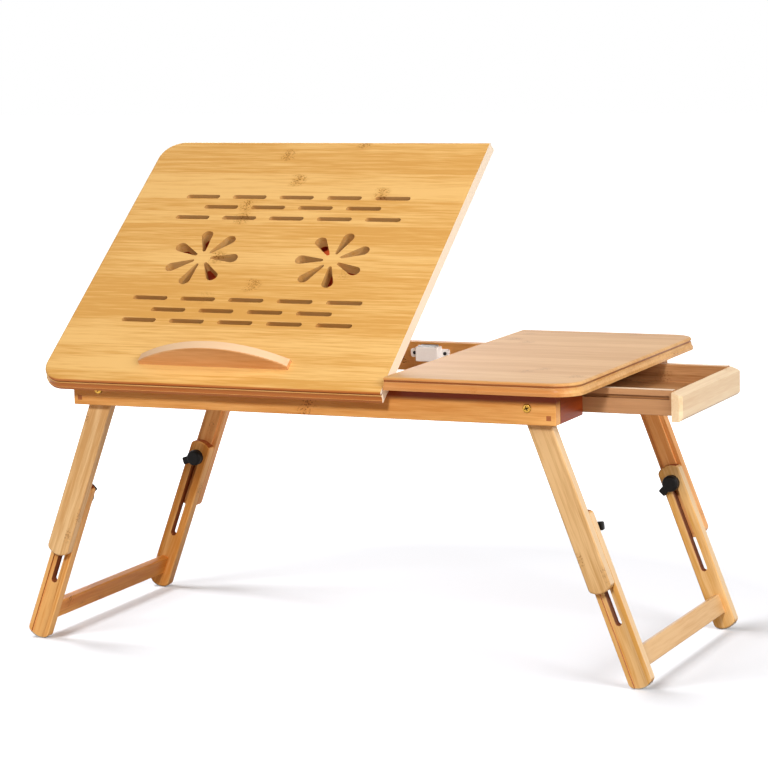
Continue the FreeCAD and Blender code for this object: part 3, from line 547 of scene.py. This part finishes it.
floorLamps = {
    "floorLeft": {"place": (-2.0, -2.4, 1.2), "aim": floorAim, "size": 1.6, "power": 94.0},
    "floorRight": {"place": (3.0, -1.0, 1.0), "aim": floorAim, "size": 1.6, "power": 106.0},
    "floorOver": {"place": (-1.1, 0.1, 2.4), "aim": floorAim, "size": 0.8, "power": 46.0},
}


def seenRays(t):
    # 1 for what the eye sees, also in gloss and through glass, and 0 for what only gives light
    path = t.add("ShaderNodeLightPath")
    seen = t.math("MAXIMUM", path.outputs["Is Camera Ray"], path.outputs["Is Glossy Ray"])
    return t.math("MAXIMUM", seen, path.outputs["Is Transmission Ray"])


def makeFloor():
    half = studio["floorHalf"]
    mesh = bpy.data.meshes.new("floor")
    corners = [(-half, -half, 0), (half, -half, 0), (half, half, 0), (-half, half, 0)]
    mesh.from_pydata(corners, [], [(0, 1, 2, 3)])
    floor = bpy.data.objects.new("floor", mesh)
    bpy.context.scene.collection.objects.link(floor)
    t = Tree(bpy.data.materials.new("floorPaint"))
    seen = seenRays(t)
    distance = t.add("ShaderNodeVectorMath", operation="LENGTH")
    t.put(distance.inputs[0], t.coordinates()[0])
    even = t.add("ShaderNodeMapRange")
    t.put(even.inputs["Value"], distance.outputs["Value"])
    ends = studio["glowPlaces"] + studio["floorGlow"]
    for socket, value in zip(("From Min", "From Max", "To Min", "To Max"), ends):
        even.inputs[socket].default_value = value
    paint = t.add("ShaderNodeBsdfDiffuse")
    t.put(paint.inputs[0], t.mix(seen, studio["floorTone"], studio["floorSeen"]))
    glow = t.add("ShaderNodeEmission")
    t.put(glow.inputs["Strength"], t.times(seen, even.outputs[0]))
    both = t.add("ShaderNodeAddShader")
    t.put(both.inputs[0], paint.outputs[0])
    t.put(both.inputs[1], glow.outputs[0])
    mesh.materials.append(t.end(both.outputs[0]))
    return floor


def makeSky():
    world = bpy.data.worlds.new("studioSky")
    bpy.context.scene.world = world
    t = Tree(world)
    seen = seenRays(t)
    sky = t.add("ShaderNodeBackground")
    t.put(sky.inputs["Color"], t.mix(seen, studio["skyTone"], studio["skySeen"]))
    t.put(sky.inputs["Strength"], t.scaled(seen, 1 - studio["skyLight"], studio["skyLight"]))
    t.end(sky.outputs[0], "ShaderNodeOutputWorld")


def gather(name, things):
    # a collection that lamps can be linked to
    held = bpy.data.collections.new(name)
    for thing in things:
        held.objects.link(thing)
    return held


def makeLamps(lamps, lit, shading=None):
    # lamps that light only what lit holds, shaded by everything or only by what shading holds
    for name, values in lamps.items():
        lamp = bpy.data.lights.new(name + "Lamp", "AREA")
        lamp.size = values["size"]
        lamp.energy = values["power"]
        thing = bpy.data.objects.new(name + "Lamp", lamp)
        bpy.context.scene.collection.objects.link(thing)
        place = Vector(values["place"])
        thing.location = place
        thing.rotation_euler = (Vector(values["aim"]) - place).to_track_quat("-Z", "Y").to_euler()
        thing.light_linking.receiver_collection = lit
        if shading:
            thing.light_linking.blocker_collection = shading


cameraView = {
    "place": (1.1791, -2.5136, 0.6609),   # metres from the middle of the frame on the floor
    "yaw": 24.935, "pitch": 8.392, "roll": -1.531,
    "focalPixels": 2841.33, "framePixels": 768, "sensor": 36.0,
    "farEnd": 50.0,
}


def frameMiddle():
    # the point on the floor under the middle of the frame
    low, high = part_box("front_rail")
    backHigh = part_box("back_rail")[1]
    return Vector(((low[0] + high[0]) / 2, (low[1] + backHigh[1]) / 2, 0))


def makeCamera():
    v = cameraView
    yaw, pitch, roll = (v[key] * degrees for key in ("yaw", "pitch", "roll"))
    ahead = Vector((-math.sin(yaw) * math.cos(pitch), math.cos(yaw) * math.cos(pitch),
                    -math.sin(pitch)))
    right = ahead.cross(Vector((0, 0, 1))).normalized()
    up = right.cross(ahead)
    rightRolled = right * math.cos(roll) + up * math.sin(roll)
    upRolled = up * math.cos(roll) - right * math.sin(roll)
    turn = Matrix((rightRolled, upRolled, -ahead)).transposed()
    data = bpy.data.cameras.new("deskCamera")
    data.sensor_width = v["sensor"]
    data.sensor_height = v["sensor"]
    data.sensor_fit = "HORIZONTAL"
    data.lens = v["focalPixels"] / v["framePixels"] * v["sensor"]
    data.clip_end = v["farEnd"]
    camera = bpy.data.objects.new("deskCamera", data)
    bpy.context.scene.collection.objects.link(camera)
    camera.matrix_world = Matrix.Translation(Vector(v["place"]) + frameMiddle()) @ turn.to_4x4()
    bpy.context.scene.camera = camera


legWords = ("_leg", "bar", "pads")
legPieces = [nodes[name] for name in nodes if any(word in name for word in legWords)]
desk = gather("deskPieces", nodes.values())
paper = gather("floorPaper", [makeFloor()])
makeSky()
makeLamps(deskLamps, desk)
makeLamps(catchLamps, gather("catchPieces", [nodes["catch_body"]]))
makeLamps(floorLamps, paper, gather("legPieces", legPieces))
makeCamera()
bpy.context.scene.view_settings.view_transform = "Standard"
print("studio ready")
